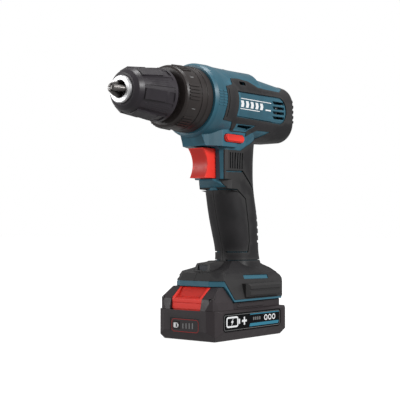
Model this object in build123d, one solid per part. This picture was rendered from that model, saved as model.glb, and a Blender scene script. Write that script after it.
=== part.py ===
from build123d import *
import math
import os

# Cordless drill driver, in millimetres.
# +X runs forward along the spindle, +Y is the tool's left, +Z is up.
# The origin is on the floor, under the middle of the whole tool.

# ---------------------------------------------------------------- driving dimensions
AXIS_Z = 186.7          # height of the spindle axis
WALL = 2.2              # wall of the housing shells
SKIN = 1.0              # depth of the rubber overmould in the shell
PROUD = 0.45            # how far the rubber stands out of the shell
SEAM = 0.15             # half the gap between the two halves' rubber
BARREL_REAR_X = -101.6
BARREL_HALF_W = 25.5
DRUM_FRONT_X = 16.0
DRUM_R = 29.0
FOOT_BASE_Z = 29.5
FOOT_STRIP_Z = 41.4     # underside of the foot's front strip
STRIP_TOP_Z = 45.8
FOOT_REAR_X = -78.5
FOOT_FRONT_X = 8.5
FOOT_HALF_W = 28.3
PACK_FRONT_X = 20.0
PACK_REAR_X = -77.0
COVER_REAR_X = -71.0
PACK_HALF_W = 30.1
PACK_SPLIT_Z = 23.5     # joint between the battery's tray and cover
PACK_TOP_Z = 41.0

MODULE = 0.8            # gear module
PRESSURE = math.radians(25)
SUN_TEETH = 12
PLANET_TEETH = 12
RING_TEETH = 36
CENTRE_DISTANCE = MODULE * (SUN_TEETH + PLANET_TEETH) / 2
PIN_R = 1.6
PLANET_BORE_R = 1.65
RING_BODY_R = 18.5
CARRIER_R = 13.0
CASE_R = 21.0
CASE_BORE_R = 18.6
NOSE_R = 10.0
SPINDLE_R = 5.0
CAN_R = 17.7              # motor can
SHAFT_R = 1.6             # motor shaft

COLLAR_BACK_X = 16.3
COLLAR_FRONT_X = 44.5
SLEEVE_BACK_X = 50.0
NOSE_RING_X = 92.2
JAW_TIP_X = 102.0
JAW_TILT = 15.0         # degrees between a jaw and the spindle axis
JAW_R = 2.3
JAW_LENGTH = 28.0
JAW_FACE_GAP = 0.45      # keeps the jaws' side faces apart when closed
BIT_R = 1.0             # the closed jaws hold a 2 mm round shank

TRIGGER_HALF_W = 7.6
CELL_R = 9.15           # three 18650 cells side by side set the battery's width
CELL_LENGTH = 65.0

os.makedirs("parts", exist_ok=True)


# ---------------------------------------------------------------- helpers
ON_BASE = (Align.CENTER, Align.CENTER, Align.MIN)


def save(name, shape):
    export_step(shape, "parts/" + name + ".step")


def box(x0, x1, y0, y1, z0, z1):
    centre = Pos((x0 + x1) / 2, (y0 + y1) / 2, (z0 + z1) / 2)
    return centre * Box(x1 - x0, y1 - y0, z1 - z0)


def rod(radius, x0, x1, y=0.0, z=AXIS_Z):
    """A cylinder along X."""
    return Pos(x0, y, z) * Rot(0, 90, 0) * Cylinder(radius, x1 - x0, align=ON_BASE)


def tube(outer, inner, x0, x1):
    return rod(outer, x0, x1) - rod(inner, x0 - 1, x1 + 1)


def turned(points):
    """A solid of revolution about the spindle axis from (x, radius) points."""
    face = make_face(Plane.XZ * Polyline(*points, close=True))
    return Pos(0, 0, AXIS_Z) * revolve(face, axis=Axis.X)


def side_prism(points, y0, y1):
    """An outline in (x, z) drawn out across Y."""
    face = make_face(Plane.XZ * Polyline(*points, close=True))
    return Pos(0, y1, 0) * extrude(face, y1 - y0, dir=(0, -1, 0))


def end_prism(points, x0, x1):
    """An outline in (y, z) drawn out along X."""
    face = make_face(Plane.YZ * Polyline(*points, close=True))
    return Pos(x0, 0, 0) * extrude(face, x1 - x0, dir=(1, 0, 0))


def plan_prism(points, z0, z1):
    """An outline in (x, y) drawn out along Z."""
    face = make_face(Polyline(*points, close=True))
    return Pos(0, 0, z0) * extrude(face, z1 - z0, dir=(0, 0, 1))


def side_pill(length, height, x, z, y0, y1):
    """A rounded bar lying across Y, with its long section along X."""
    section = Plane.XZ * SlotOverall(length, height)
    return Pos(x, y1, z) * extrude(section, y1 - y0, dir=(0, -1, 0))


def mirrored(points):
    """An outline given for +Y, closed with its mirror image for -Y."""
    return points + [(x, -y) for x, y in reversed(points)]


def both_sides(points):
    """A section given for +Y, from the bottom up, closed with its mirror image for -Y."""
    return points + [(-y, z) for y, z in reversed(points)]


def around(shape, count, start=0.0):
    """Copies of a shape turned evenly round the spindle axis."""
    local = Pos(0, 0, -AXIS_Z) * shape
    step = 360 / count
    return [Pos(0, 0, AXIS_Z) * Rot(start + step * i, 0, 0) * local for i in range(count)]


def group(shapes):
    return Compound(children=[part for part in shapes])


# ---------------------------------------------------------------- outer form of the housing
# Every form takes an inset: 0 is the shell's outer face, WALL its inner face, and a
# negative inset is the outer face of the rubber.
def barrel_form(inset):
    # x, half width, underside, top, corner radius
    stations = [
        (2.0, 26.0, 159.0, 214.8, 23.0),
        (-22.0, BARREL_HALF_W, 158.8, 214.4, 21.0),
        (-45.5, BARREL_HALF_W, 158.4, 214.4, 19.0),
        (-50.5, BARREL_HALF_W, 158.4, 210.9, 18.0),
        (-92.0, 24.4, 160.2, 207.0, 16.0),
        (BARREL_REAR_X, 16.5, 170.2, 200.4, 12.0),
    ]
    sections = []
    for x, half_width, low, high, radius in stations:
        place_x = x + inset if x == BARREL_REAR_X else x
        outline = RectangleRounded(2 * (half_width - inset), high - low - 2 * inset, radius - inset)
        sections.append(Plane.YZ.offset(place_x) * Pos(0, (low + high) / 2) * outline)
    return loft(sections, ruled=True)


def drum_form(inset):
    return turned([
        (-16.0, 0.0),
        (-16.0, 27.6 - inset),
        (4.0, DRUM_R + 0.3 - inset),
        (13.0, DRUM_R - inset),
        (DRUM_FRONT_X, DRUM_R - 1.6 - inset),
        (DRUM_FRONT_X, 0.0),
    ])


def handle_form(inset):
    # z, rear, front, half width
    stations = [
        (170.0, -59.0, -4.0, 20.0),
        (158.0, -57.3, -5.0, 18.6),
        (147.0, -57.0, -9.0, 16.6),
        (133.0, -56.8, -12.0, 16.0),
        (120.0, -57.6, -14.7, 15.8),
        (100.0, -61.8, -18.7, 15.8),
        (80.0, -64.4, -24.5, 15.6),
        (66.0, -65.1, -27.8, 15.6),
        (58.0, -67.4, -27.0, 16.2),
        (50.0, -71.0, -22.0, 17.5),
    ]
    sections = []
    for z, rear, front, half_width in stations:
        half = half_width - inset
        outline = RectangleRounded(front - rear - 2 * inset, 2 * half, half - 0.15)
        sections.append(Plane.XY.offset(z) * Pos((rear + front) / 2, 0) * outline)
    return loft(sections)


def chin_form(inset):
    """The nose between the drum and the trigger."""
    front = 14.3 - inset
    low = 151.2 + inset
    side = side_prism([(-22, 176), (front, 176), (front, 163), (front - 5.6, low), (-22, low)], -30, 30)
    cheek = [(-22, 18.5), (-10, 18.5), (-5.5, 17.9), (-2, 16.8), (2, 14.8), (6, 12.6), (10, 11.2), (16, 10.0)]
    plan = plan_prism(mirrored([(x, half_width - inset) for x, half_width in cheek]), 140, 180)
    return side & plan


def guard_form(inset):
    """The cheeks beside the trigger and the small lip under it."""
    half_width = 15.8 - inset
    low = 125.8
    cheeks = side_prism([
        (-30, 156), (-4 - inset, 156), (-8.2 - inset, 149), (-8.8 - inset, low), (-30, low),
    ], -20, 20)
    cheeks &= plan_prism(mirrored([
        (-30, half_width), (-14, half_width), (-11 - inset, half_width - 1), (-8.2 - inset, half_width - 4.3),
        (0, half_width - 6.3),
    ]), 110, 160)
    lip = side_prism([
        (-30, low + 0.1), (-5.8 - inset, low + 0.1), (-6.6 - inset, 124.4 + inset), (-11.5, 121.8 + inset),
        (-16.5, 118.4 + inset), (-30, 116 + inset),
    ], -20, 20)
    lip &= plan_prism(mirrored([
        (-30, half_width), (-19, half_width), (-16 - inset, half_width - 1.8),
        (-9.4 - inset, half_width - 6.4), (-5 - inset, half_width - 10.5),
    ]), 110, 160)
    return cheeks + lip


def foot_plan(shrink):
    """Plan outline of the foot, pulled in by shrink all round."""
    half_width = FOOT_HALF_W + 1 - shrink
    return mirrored([
        (FOOT_REAR_X + shrink, 18 - shrink), (FOOT_REAR_X + 4 + shrink, 25 - shrink), (-68, half_width),
        (-5 - shrink, half_width), (1.5 - shrink, 24 - shrink), (FOOT_FRONT_X - shrink, 14.5 - shrink / 2),
    ])


def foot_form(inset):
    base = FOOT_BASE_Z - 1 if inset == WALL else FOOT_BASE_Z
    rear = FOOT_REAR_X + inset
    front = FOOT_FRONT_X - inset
    side = side_prism([
        (rear, base), (-6.5 - inset, base), (1.2 - inset, FOOT_STRIP_Z), (front, FOOT_STRIP_Z),
        (front, STRIP_TOP_Z), (front - 4.0, 51.0 - inset), (-12, 54.6 - inset), (-24, 60 - inset),
        (-57, 60 - inset), (-61, 57 - inset), (-67, 54 - inset), (-70 + inset, 50 - inset), (rear, 45),
    ], -40, 40)
    section = end_prism(both_sides([
        (FOOT_HALF_W - inset, base), (24.2 - inset, 46), (22.4 - inset, 50.6 - inset),
        (15 - inset, 56.6 - inset), (12, 60 - inset),
    ]), -90, 20)
    lower = plan_prism(foot_plan(inset), 20, STRIP_TOP_Z)
    upper = loft([
        Plane.XY.offset(STRIP_TOP_Z) * make_face(Polyline(*foot_plan(inset), close=True)),
        Plane.XY.offset(STRIP_TOP_Z + 24) * make_face(Polyline(*foot_plan(inset + 12), close=True)),
    ], ruled=True)
    return side & section & (lower + upper)


def lamp_form(inset):
    """The bump on the front of the foot that holds the work light."""
    half_width = 6.6 - inset
    top = 58.6 - inset
    front = -2.0 - inset
    side = side_prism([
        (-26, 50), (front + 0.8, 50), (front + 0.8, 52.6), (front - 1.0, top), (-16, top + 1.2), (-26, 60),
    ], -8, 8)
    section = end_prism(both_sides([
        (half_width + 2, 50), (half_width, top - 1.5), (half_width - 1.5, top + 1.3),
    ]), -30, 4)
    return side & section


def pack_bay():
    """The open underside of the foot, where the battery's upper body slides in."""
    low = FOOT_BASE_Z - 3
    return end_prism(both_sides([(26.1, low), (26.1, FOOT_BASE_Z), (22.9, FOOT_STRIP_Z)]), -74, 12)


def housing_form(inset):
    """The whole outer form; the drum and the grip grow out of the barrel."""
    forms = [drum_form, handle_form, chin_form, guard_form, foot_form, lamp_form]
    return barrel_form(inset) + [form(inset) for form in forms]


# ---------------------------------------------------------------- regions of the rubber, seen from the side
MOTOR_RUBBER = [
    (-9, 204.5), (-19, 205.5), (-31, 204.5), (-42, 200.4), (-75, 200.6), (-88, 206), (-90, 222), (-112, 222),
    (-112, 146), (-72, 146), (-50, 146), (-36, 153), (-42, 156), (-62.5, 166.3), (-44.5, 166.3),
    (-32, 160.4), (-32, 163.4), (-13.5, 163.4), (-9.5, 170.4), (3.2, 170.8), (3.8, 178), (2.6, 188),
    (3.2, 193), (3.4, 196.4), (-7, 199.2),
]
HANDLE_RUBBER = [
    (-10.6, 149), (-29, 149), (-36, 153), (-50, 146.02), (-72, 146.02), (-90, 120), (-90, 31.2), (-7.2, 31.2),
    (1.4, STRIP_TOP_Z), (20, STRIP_TOP_Z), (20, 60), (-4, 60), (-4, 117.0), (-16.0, 117.2), (-15.0, 119.6),
    (-12.2, 122.4), (-10.6, 125),
]
GRIP_PAD = [(0, 118.6), (-26, 117.6), (-36.8, 110.6), (-41, 88.5), (-42.2, 76), (-40.5, 67.6), (0, 67.6)]


def panel_opening(grow, y0, y1):
    """The round-ended window in the rubber that shows the side panel and its vents."""
    front = -12.6 + grow
    window = side_prism([
        (front, 174.4 - grow), (-72, 173.4 - grow), (-72, 195.6 + grow), (front, 194.8 + grow),
    ], y0, y1)
    return window + side_pill(32 + 2 * grow, 22.2 + 2 * grow, -66.5, 184.5, y0, y1)


def band(points, width, y0, y1):
    """A ribbon that follows a closed side outline, used to cut a groove."""
    outline = make_face(Plane.XZ * Polyline(*points, close=True))
    ring = offset(outline, width / 2) - offset(outline, -width / 2)
    return Pos(0, y1, 0) * extrude(ring, y1 - y0, dir=(0, -1, 0))


# ---------------------------------------------------------------- housing
# Screws, all driven from the right: x, z and the distance from the middle to the top of the head.
SCREWS = [
    (5.5, 160.0, 10.5), (-2.0, 211.2, 11.0), (-92.0, 176.0, 19.5), (-92.0, 198.5, 16.5),
    (-51.0, 146.0, 11.5), (-47.5, 64.5, 11.0), (-68.5, 46.5, 17.5), (0.5, 46.8, 13.5),
]
SCREW_R = 1.3
SCREW_LENGTH = 16.0
SCREW_HEAD_R = 2.6
SCREW_HEAD_H = 1.8
BOSS_R = 2.9
TRIGGER_SLOT_HALF_W = TRIGGER_HALF_W + 0.4
BUTTON_HALF_W = 20.4
BUTTON_X = -18.6
BUTTON_Z = 158.0
BUTTON_LENGTH = 24.0
BUTTON_HEIGHT = 6.0
SELECTOR_FRONT_X = -18.0
SELECTOR_REAR_X = -39.0
SELECTOR_HALF_W = 6.5
SELECTOR_TRAVEL = 5.0
SELECTOR_FLOOR_Z = 213.1
VENT_COUNT = 4
VENT_PITCH = 4.1
REAR_SLOT_COUNT = 6
REAR_SLOT_PITCH = 4.4
REAR_SLOT_LOW_Z = 174.2
REAR_SLOT_H = 2.2


def screw_bosses(form):
    posts = [Pos(x, 0, z) * Rot(90, 0, 0) * Cylinder(BOSS_R, 60) for x, z, _ in SCREWS]
    return (posts[0] + posts[1:]) & form


def cradle_ribs(form):
    """Walls across the barrel that hold the gearbox and the motor."""
    slabs = [box(x, x + 2, -30, 30, 164, 216) for x in (-75.0, -56.0, -38.0, -22.0, 4.0)]
    ribs = (slabs[0] + slabs[1:]) & form
    ribs -= rod(CASE_R + 0.05, -28, DRUM_FRONT_X + 1) + rod(CAN_R + 0.05, -90, -27)
    fork_channel = box(-45, 0, -4.5, 4.5, 208.0, 211.4)
    return ribs - fork_channel


def rear_slot_z(index):
    """Lower and upper edge of one of the slots across the back of the barrel."""
    low = REAR_SLOT_LOW_Z + REAR_SLOT_PITCH * index
    return low, low + REAR_SLOT_H


def shell_cuts():
    """Everything that opens the two shells, apart from the screw holes."""
    cuts = [rod(CASE_R + 0.3, 3, DRUM_FRONT_X + 1)]
    cuts.append(box(-16, 25, -TRIGGER_SLOT_HALF_W, TRIGGER_SLOT_HALF_W, 125.9, 150.2))
    cuts.append(side_pill(BUTTON_LENGTH + 0.7, BUTTON_HEIGHT + 0.7, BUTTON_X, BUTTON_Z, -30, 30))
    slot_rear = SELECTOR_REAR_X - SELECTOR_TRAVEL - 0.5
    slot_half_w = SELECTOR_HALF_W + 0.4
    cuts.append(box(slot_rear, SELECTOR_FRONT_X + 0.5, -slot_half_w, slot_half_w, SELECTOR_FLOOR_Z, 220))
    cuts.append(box(slot_rear + 2, SELECTOR_FRONT_X - 1, -4.5, 4.5, 209, SELECTOR_FLOOR_Z + 1))
    cuts.append(box(-6.0, 0, -5.0, 5.0, 53.6, 57.8))
    for side in (-1, 1):
        y0, y1 = sorted((side * 19.0, side * 34.0))
        for i in range(VENT_COUNT):
            z = 177.0 + VENT_PITCH * i
            cuts.append(side_prism([(-79.5, z + 0.6), (-64, z), (-62, z + 2.4), (-79.5, z + 2.9)], y0, y1))
        cuts.append(side_prism([(-19, 165.2), (-31, 165.0), (-38, 168.8), (-19, 168.8)], y0, y1))
        cuts.append(side_prism([(-18.5, 200.4), (-26, 200.4), (-26, 203.2), (-18.5, 203.2)], y0, y1))
        y0, y1 = sorted((side * 5.0, side * 24.0))
        for i in range(REAR_SLOT_COUNT):
            cuts.append(box(-110, -98.5, y0, y1, *rear_slot_z(i)))
    return cuts


def rear_scallops():
    """Grooves that run round the rear corners and leave the ribbed edge."""
    middle = box(-113, -90, -12, 12, 160, 215)
    return [box(-112, -95.5, -30, 30, *rear_slot_z(i)) - middle for i in range(REAR_SLOT_COUNT)]


def rear_ribs():
    """The ribs between those grooves, which stand out of the rubber."""
    ribs = []
    for i in range(REAR_SLOT_COUNT - 1):
        low = rear_slot_z(i)[1]
        high = rear_slot_z(i + 1)[0]
        rib = box(BARREL_REAR_X - PROUD, -95.5, -30, 30, low + 0.2, high - 0.2)
        ribs.append(rib - box(-113, -90, -12, 12, 160, 215))
    return barrel_form(-PROUD - 1.0) & (ribs[0] + ribs[1:])


def rubber_region(side):
    """The zones of one side that the rubber covers, as one solid."""
    y0, y1 = sorted((0.0, side * 45.0))
    motor = side_prism(MOTOR_RUBBER, y0, y1) - panel_opening(0, y0 - 1, y1 + 1)
    motor -= side_prism([(-16, 163.9), (-31.5, 163.9), (-40.5, 169.6), (-16, 169.6)], y0 - 1, y1 + 1)
    handle = side_prism(HANDLE_RUBBER, y0, y1)
    handle -= side_prism([(-24, 46.6), (-24, 49.8), (-56.5, 49.2), (-56.5, 46.0)], y0 - 1, y1 + 1)
    return motor + handle


def grip_details(side):
    """Grooves and ribs in the rubber of one side of the handle and barrel."""
    y0, y1 = sorted((side * 3.0, side * 30.0))
    cuts = [band(GRIP_PAD, 0.9, y0, y1)]
    for i in range(6):
        front = -16.2 - 3.0 * i
        cuts.append(box(front - 1.3, front, y0, y1, 134.5, 147.2))
    cuts.append(side_prism([
        (-12, 131.2), (-32.4, 131.9), (-46.6, 119.0), (-57, 107), (-57.6, 108.2), (-46.8, 120.6),
        (-33.0, 133.2), (-12, 132.5),
    ], y0, y1))
    cuts.append(box(-80, -19, y0, y1, 60.6, 61.3))
    y0, y1 = sorted((side * 22.0, side * 30.0))
    cuts.append(box(0.0, 0.9, y0, y1, 173.0, 195.0))
    return cuts


def back_grooves():
    """Shallow grooves round the back of the handle, where the palm rests."""
    slabs = [box(-90, -54, -20, 20, z, z + 2.0) for z in (75.0, 80.8, 86.6, 92.4, 98.2, 104.0)]
    return (slabs[0] + slabs[1:]) - handle_form(0.35)


def panel_groove():
    """The shadow line round each side panel, cut into the shell."""
    grooves = []
    for side in (-1, 1):
        y0, y1 = sorted((side * 24.2, side * 34.0))
        grooves.append(panel_opening(0, y0, y1) - panel_opening(-0.9, y0 - 1, y1 + 1))
    return grooves


def build_shell(hollow):
    """Both halves of the hard shell in one piece, before the rubber is let in."""
    shell = housing_form(0) - hollow
    bosses = screw_bosses(hollow & housing_form(SKIN))
    shell = shell + (bosses - box(-100, 100, -40, 40, 0, FOOT_STRIP_Z + 1))
    shell = shell + cradle_ribs(hollow)
    selector_pad = box(-50, -14, -9.5, 9.5, 211.4, SELECTOR_FLOOR_Z + 0.2)
    shell = shell + (selector_pad & housing_form(SKIN))
    shell = shell - (shell_cuts() + panel_groove())
    for side in (-1, 1):
        y0, y1 = sorted((side * 22.8, side * 27.0))
        rail = box(-74, -12, y0, y1, 33.2, 35.6) & foot_form(SKIN)
        shell = shell + rail
    return shell


def build_housing():
    hollow = housing_form(WALL) - rod(60, DRUM_FRONT_X - WALL, DRUM_FRONT_X + 20)
    hollow += pack_bay()
    shell = build_shell(hollow)
    inner_fill = housing_form(SKIN)
    rubber_skin = (housing_form(-PROUD) + rear_ribs()) - inner_fill
    openings = shell_cuts() + rear_scallops() + [back_grooves(), pack_bay()]
    halves = {}
    for side, label in ((1, "left"), (-1, "right")):
        region = rubber_region(side)
        y0, y1 = sorted((0.0, side * 60.0))
        half_space = box(-150, 150, y0, y1, 0, 260)
        rubber = (rubber_skin & region) - openings - grip_details(side)
        seam = box(-150, 150, -SEAM, SEAM, 0, 260)
        halves["housing_" + label] = (shell - (region - inner_fill)) & half_space
        halves["overmould_" + label] = (rubber & half_space) - seam
    for x, z, seat in SCREWS:
        at = Pos(x, 0, z) * Rot(90, 0, 0)
        head_room = at * Pos(0, 0, seat - SCREW_HEAD_H) * Cylinder(SCREW_HEAD_R + 0.2, 30, align=ON_BASE)
        halves["housing_right"] -= at * Cylinder(SCREW_R, 60, align=ON_BASE)
        halves["housing_right"] -= head_room
        halves["overmould_right"] -= head_room
        halves["housing_left"] -= at * Cylinder(SCREW_R, 16)
    return halves


def build_screws():
    screws = []
    for x, z, seat in SCREWS:
        at = Pos(x, 0, z) * Rot(90, 0, 0)
        under_head = seat - SCREW_HEAD_H
        shank = at * Pos(0, 0, under_head - SCREW_LENGTH) * Cylinder(SCREW_R, SCREW_LENGTH, align=ON_BASE)
        head = at * Pos(0, 0, under_head) * Cylinder(SCREW_HEAD_R, SCREW_HEAD_H, align=ON_BASE)
        socket = at * Pos(0, 0, seat) * extrude(RegularPolygon(1.1, 6), 1.1, both=True)
        screws.append(shank + head - socket)
    return group(screws)


def build_bumper():
    """The two rubber blocks that guard the sides of the foot."""
    blocks = []
    for side in (-1, 1):
        y0, y1 = sorted((side * 20.0, side * 32.0))
        block = box(-64, -20, y0, y1, 32.6, 43.2)
        block -= box(-66, -19, *sorted((side * 31.2, side * 33.0)), 37.2, 38.8)
        block -= Pos(-42, side * 32.0, 43.2) * Rot(45, 0, 0) * Box(60, 2.4, 2.4)
        block -= Pos(-42, side * 32.0, 32.6) * Rot(45, 0, 0) * Box(60, 2.4, 2.4)
        block -= Pos(-20, side * 32.0, 38) * Rot(0, 0, 45) * Box(4.2, 4.2, 20)
        blocks.append(block - foot_form(-PROUD))
    return group(blocks)


def build_lens():
    return box(-3.8, -2.9, -4.9, 4.9, 53.7, 57.7) + box(-5.5, -3.8, -4.2, 4.2, 54.2, 57.2)


# ---------------------------------------------------------------- gears
def involute(angle):
    return math.tan(angle) - angle


def gear_outline(teeth, tip_r, root_r, play, start):
    """Points (y, z) of a spur gear's outline; play is the metal left off each flank."""
    pitch_r = MODULE * teeth / 2
    base_r = pitch_r * math.cos(PRESSURE)
    half_pitch = math.pi / (2 * teeth) - play / pitch_r + involute(PRESSURE)
    flank_from = max(base_r, root_r)
    radii = [flank_from + (tip_r - flank_from) * i / 4 for i in range(5)]
    points = []
    for tooth in range(teeth):
        centre = math.radians(start) + 2 * math.pi * tooth / teeth
        rising = []
        for radius in radii:
            roll = math.acos(min(1.0, base_r / radius))
            rising.append((radius, half_pitch - involute(roll)))
        if root_r < base_r - 0.01:
            rising.insert(0, (root_r, rising[0][1]))
        for radius, half in rising:
            points.append((radius * math.cos(centre - half), radius * math.sin(centre - half)))
        for radius, half in reversed(rising):
            points.append((radius * math.cos(centre + half), radius * math.sin(centre + half)))
    return points


def spur(teeth, x0, x1, start=0.0, bore=0.0, play=0.06):
    pitch_r = MODULE * teeth / 2
    outline = gear_outline(teeth, pitch_r + MODULE, pitch_r - 1.25 * MODULE, play, start)
    gear = Pos(0, 0, AXIS_Z) * end_prism(outline, x0, x1)
    if bore:
        gear -= rod(bore, x0 - 1, x1 + 1)
    return gear


def ring_gear(x0, x1, outer_r):
    pitch_r = MODULE * RING_TEETH / 2
    tip_r = pitch_r - 0.75 * MODULE
    root_r = pitch_r + 1.25 * MODULE
    space = gear_outline(RING_TEETH, root_r, tip_r, -0.06, 180 / RING_TEETH)
    return rod(outer_r, x0, x1) - Pos(0, 0, AXIS_Z) * end_prism(space, x0 - 1, x1 + 1)


def planet(x0, x1, index):
    angle = math.radians(120 * index)
    tooth_start = 180 / PLANET_TEETH
    return Pos(0, CENTRE_DISTANCE * math.cos(angle), CENTRE_DISTANCE * math.sin(angle)) * spur(
        PLANET_TEETH, x0, x1, start=tooth_start, bore=PLANET_BORE_R)


def carrier(plate_x0, plate_x1, pin_x):
    """A plate with three planet pins that reach back to pin_x."""
    plate = rod(CARRIER_R, plate_x0, plate_x1)
    pins = []
    for i in range(3):
        angle = math.radians(120 * i)
        y = CENTRE_DISTANCE * math.cos(angle)
        z = AXIS_Z + CENTRE_DISTANCE * math.sin(angle)
        pins.append(rod(PIN_R, pin_x, plate_x0 + 0.5, y, z))
    return plate + pins


# ---------------------------------------------------------------- gearbox, spindle and clutch
STAGE_1 = (-24.5, -18.5)
STAGE_2 = (-13.0, -6.5)
STAGE_3 = (-2.5, 4.5)
SHIFT_RING = (-13.0, -5.0)
GROOVE = (-9.9, -8.1)
FORK_TOP_Z = 210.4
BALL_R = 2.0
BALL_CIRCLE_R = 14.5
BALL_X = 14.0


def build_gearbox_case():
    case = rod(CASE_R, -26, DRUM_FRONT_X) - rod(CASE_BORE_R, -27, 12)
    case += rod(NOSE_R, 15, 42)
    case -= rod(6.2, 11, 43)
    case -= rod(7.5, 11, 20) + rod(8.0, 34, 43)
    case -= around(rod(BALL_R + 0.05, 11, DRUM_FRONT_X + 1, BALL_CIRCLE_R), 6)
    case -= box(-17.5, -6.5, -3.6, 3.6, AXIS_Z + 15, AXIS_Z + 25)
    return case


def build_bearings():
    return group([tube(7.5, SPINDLE_R + 0.03, 13.0, 20.0), tube(8.0, SPINDLE_R + 0.03, 34.5, 41.5)])


def build_balls():
    return group([ball.solid() for ball in around(Pos(BALL_X, BALL_CIRCLE_R, AXIS_Z) * Sphere(BALL_R), 6)])


def coil(radius, wire_r, x0, x1, turns, z=AXIS_Z):
    """A compression spring about an axis along X."""
    height = x1 - x0 - 2 * wire_r
    path = Helix(pitch=height / turns, height=height, radius=radius)
    start = Plane(origin=path @ 0, z_dir=path % 0)
    spring = sweep(start * Circle(wire_r), path=path, is_frenet=True)
    return Pos(x0 + wire_r, 0, z) * Rot(0, 90, 0) * spring


def build_spindle():
    spindle = carrier(5.5, 9.0, STAGE_3[0] + 0.2)
    spindle += rod(SPINDLE_R, 8.5, 62)
    spindle += rod(6.9, 9.0, 12.6)
    return spindle - rod(2.5, 50, 63)


def build_carrier(plate, pins_from, sun):
    return carrier(plate[0], plate[1], pins_from + 0.2) + spur(SUN_TEETH, plate[1] - 0.5, sun[1])


def build_shift_ring():
    ring = ring_gear(*SHIFT_RING, 17.5)
    return ring - (rod(18, *GROOVE) - rod(16.6, GROOVE[0] - 1, GROOVE[1] + 1))


def build_shift_fork():
    """The wire that rides in the sliding ring's groove, and the arm that pushes it."""
    front = GROOVE[1] - 0.15
    rear = GROOVE[0] + 0.15
    top_half = box(-20, 0, -30, 30, AXIS_Z + 5, AXIS_Z + 22)
    half_ring = tube(18.2, 16.7, rear, front) & top_half
    prong = box(rear, front, -3.0, 3.0, AXIS_Z + 17, FORK_TOP_Z)
    arm = box(-36, front, -3.0, 3.0, FORK_TOP_Z - 1.5, FORK_TOP_Z)
    return half_ring + prong + arm


def build_selector():
    """The slide on top that picks the gear; it sits in the shell's recess."""
    low = SELECTOR_FLOOR_Z + 0.3
    top = side_prism([
        (SELECTOR_REAR_X, low), (SELECTOR_FRONT_X, low), (SELECTOR_FRONT_X, 214.0),
        (SELECTOR_FRONT_X - 2, 214.9), (SELECTOR_FRONT_X - 5, 214.5), (SELECTOR_REAR_X + 5, 214.5),
        (SELECTOR_REAR_X + 2, 214.9), (SELECTOR_REAR_X, 214.0),
    ], -SELECTOR_HALF_W, SELECTOR_HALF_W)
    grips = [box(x - 0.5, x + 0.5, -5.0, 5.0, 214.0, 215.0) for x in (-25.5, -28.5, -31.5)]
    foot = box(-36, -30, -3.8, 3.8, FORK_TOP_Z, low + 0.2)
    return top + grips + foot


RIB_STACK_START = -86.0     # the first stack faces the tool's left


def build_collar():
    """The torque ring: a tapered sleeve with six stacks of short ribs and a stepped skirt."""
    collar = turned([
        (COLLAR_BACK_X, 21.4), (COLLAR_BACK_X, 25.6), (17.2, 25.8), (22.2, 25.6), (22.7, 25.0), (24.0, 24.9),
        (27.6, 24.7), (27.8, 24.2), (28.6, 24.2), (28.8, 24.65), (41.5, 24.0), (43.6, 23.2),
        (COLLAR_FRONT_X, 21.8), (COLLAR_FRONT_X, 12.0), (42.6, 12.0), (42.6, 19.9), (40.0, 21.4),
    ])
    rib = Pos(36.3, 0, AXIS_Z + 24.1) * Rot(0, 3, 0) * Box(11.0, 1.3, 1.7)
    ribs = []
    for stack in range(6):
        for i in range(5):
            ribs += around(rib, 1, start=RIB_STACK_START + 60 * stack + 6 * (i - 2))
    keys = around(box(17.0, 41.0, -1.4, 1.4, AXIS_Z + 18.3, AXIS_Z + 21.8), 3, start=30)
    return collar + ribs + keys


def build_clutch_nut():
    nut = rod(19.0, 33.5, 38.0) - rod(NOSE_R + 0.12, 33, 39)
    return nut - around(box(33, 39, -1.7, 1.7, AXIS_Z + 17.5, AXIS_Z + 23), 3, start=30)


# ---------------------------------------------------------------- chuck
TILT = math.tan(math.radians(JAW_TILT))
TILT_COS = math.cos(math.radians(JAW_TILT))
JAW_AXIS_TIP_R = 1.5    # how far the jaw's own axis is from the spindle's at its tip
NUT_BACK_X = 76.6
NUT_FRONT_X = 83.4


def jaw_back_r(x):
    """Distance from the spindle axis to the outer edge of a jaw at x."""
    return JAW_AXIS_TIP_R + (JAW_TIP_X - x) * TILT + JAW_R / TILT_COS


JAW_GAP = 0.12              # running clearance round a jaw
THREAD_R = jaw_back_r(NUT_FRONT_X) - 0.15


def tilted_rod(radius, front_x, length):
    """A cylinder on a jaw's sloping axis, on the +Y side, from front_x backwards."""
    radial = JAW_AXIS_TIP_R + (JAW_TIP_X - front_x) * TILT
    along_jaw = Pos(front_x, radial, AXIS_Z) * Rot(0, 0, -JAW_TILT) * Rot(0, -90, 0)
    return along_jaw * Cylinder(radius, length, align=ON_BASE)


def build_jaw(index):
    jaw = tilted_rod(JAW_R, JAW_TIP_X + 3, JAW_LENGTH + 3)
    jaw &= turned([
        (60, 0), (60, 40), (92, 40), (96.5, 5.3), (JAW_TIP_X - 1.2, 3.3), (JAW_TIP_X, 2.1), (JAW_TIP_X, 0),
    ])
    jaw -= rod(BIT_R, 60, 110)
    reach = 20.0
    spread = (reach - JAW_FACE_GAP) * math.tan(math.radians(60))
    wedge = end_prism([(JAW_FACE_GAP, AXIS_Z), (reach, AXIS_Z + spread), (reach, AXIS_Z - spread)], 60, 110)
    return around(jaw & wedge, 1, start=120 * index)[0]


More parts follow.
